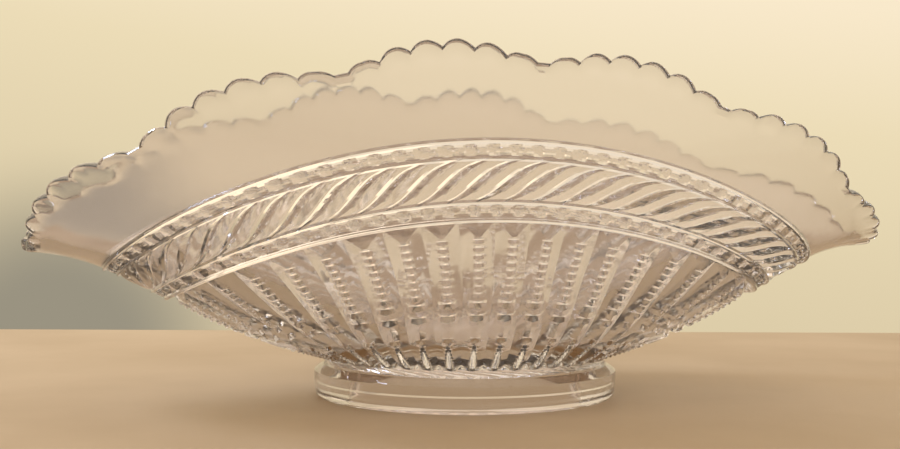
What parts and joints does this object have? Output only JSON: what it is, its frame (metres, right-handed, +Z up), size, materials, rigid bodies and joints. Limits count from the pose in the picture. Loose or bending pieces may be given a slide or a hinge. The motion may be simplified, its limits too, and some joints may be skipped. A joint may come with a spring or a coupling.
{
  "type": "oval glass bowl",
  "caption": "Oval boat-shaped pressed glass bowl with a scalloped rim, mitre ridges round its wall and a round collar foot.",
  "frame": {"origin": "centre of the foot, on the plane that the foot rests on", "axes": "+X along the bowl's length, +Y across its width, +Z up"},
  "size_m": [0.2828, 0.1558, 0.1064],
  "materials": {
    "clear_glass": "fire-polished clear pressed glass"
  },
  "bodies": {
    "root": {"bowl": "clear_glass", "foot_ring": "clear_glass"}
  },
  "joints": []
}
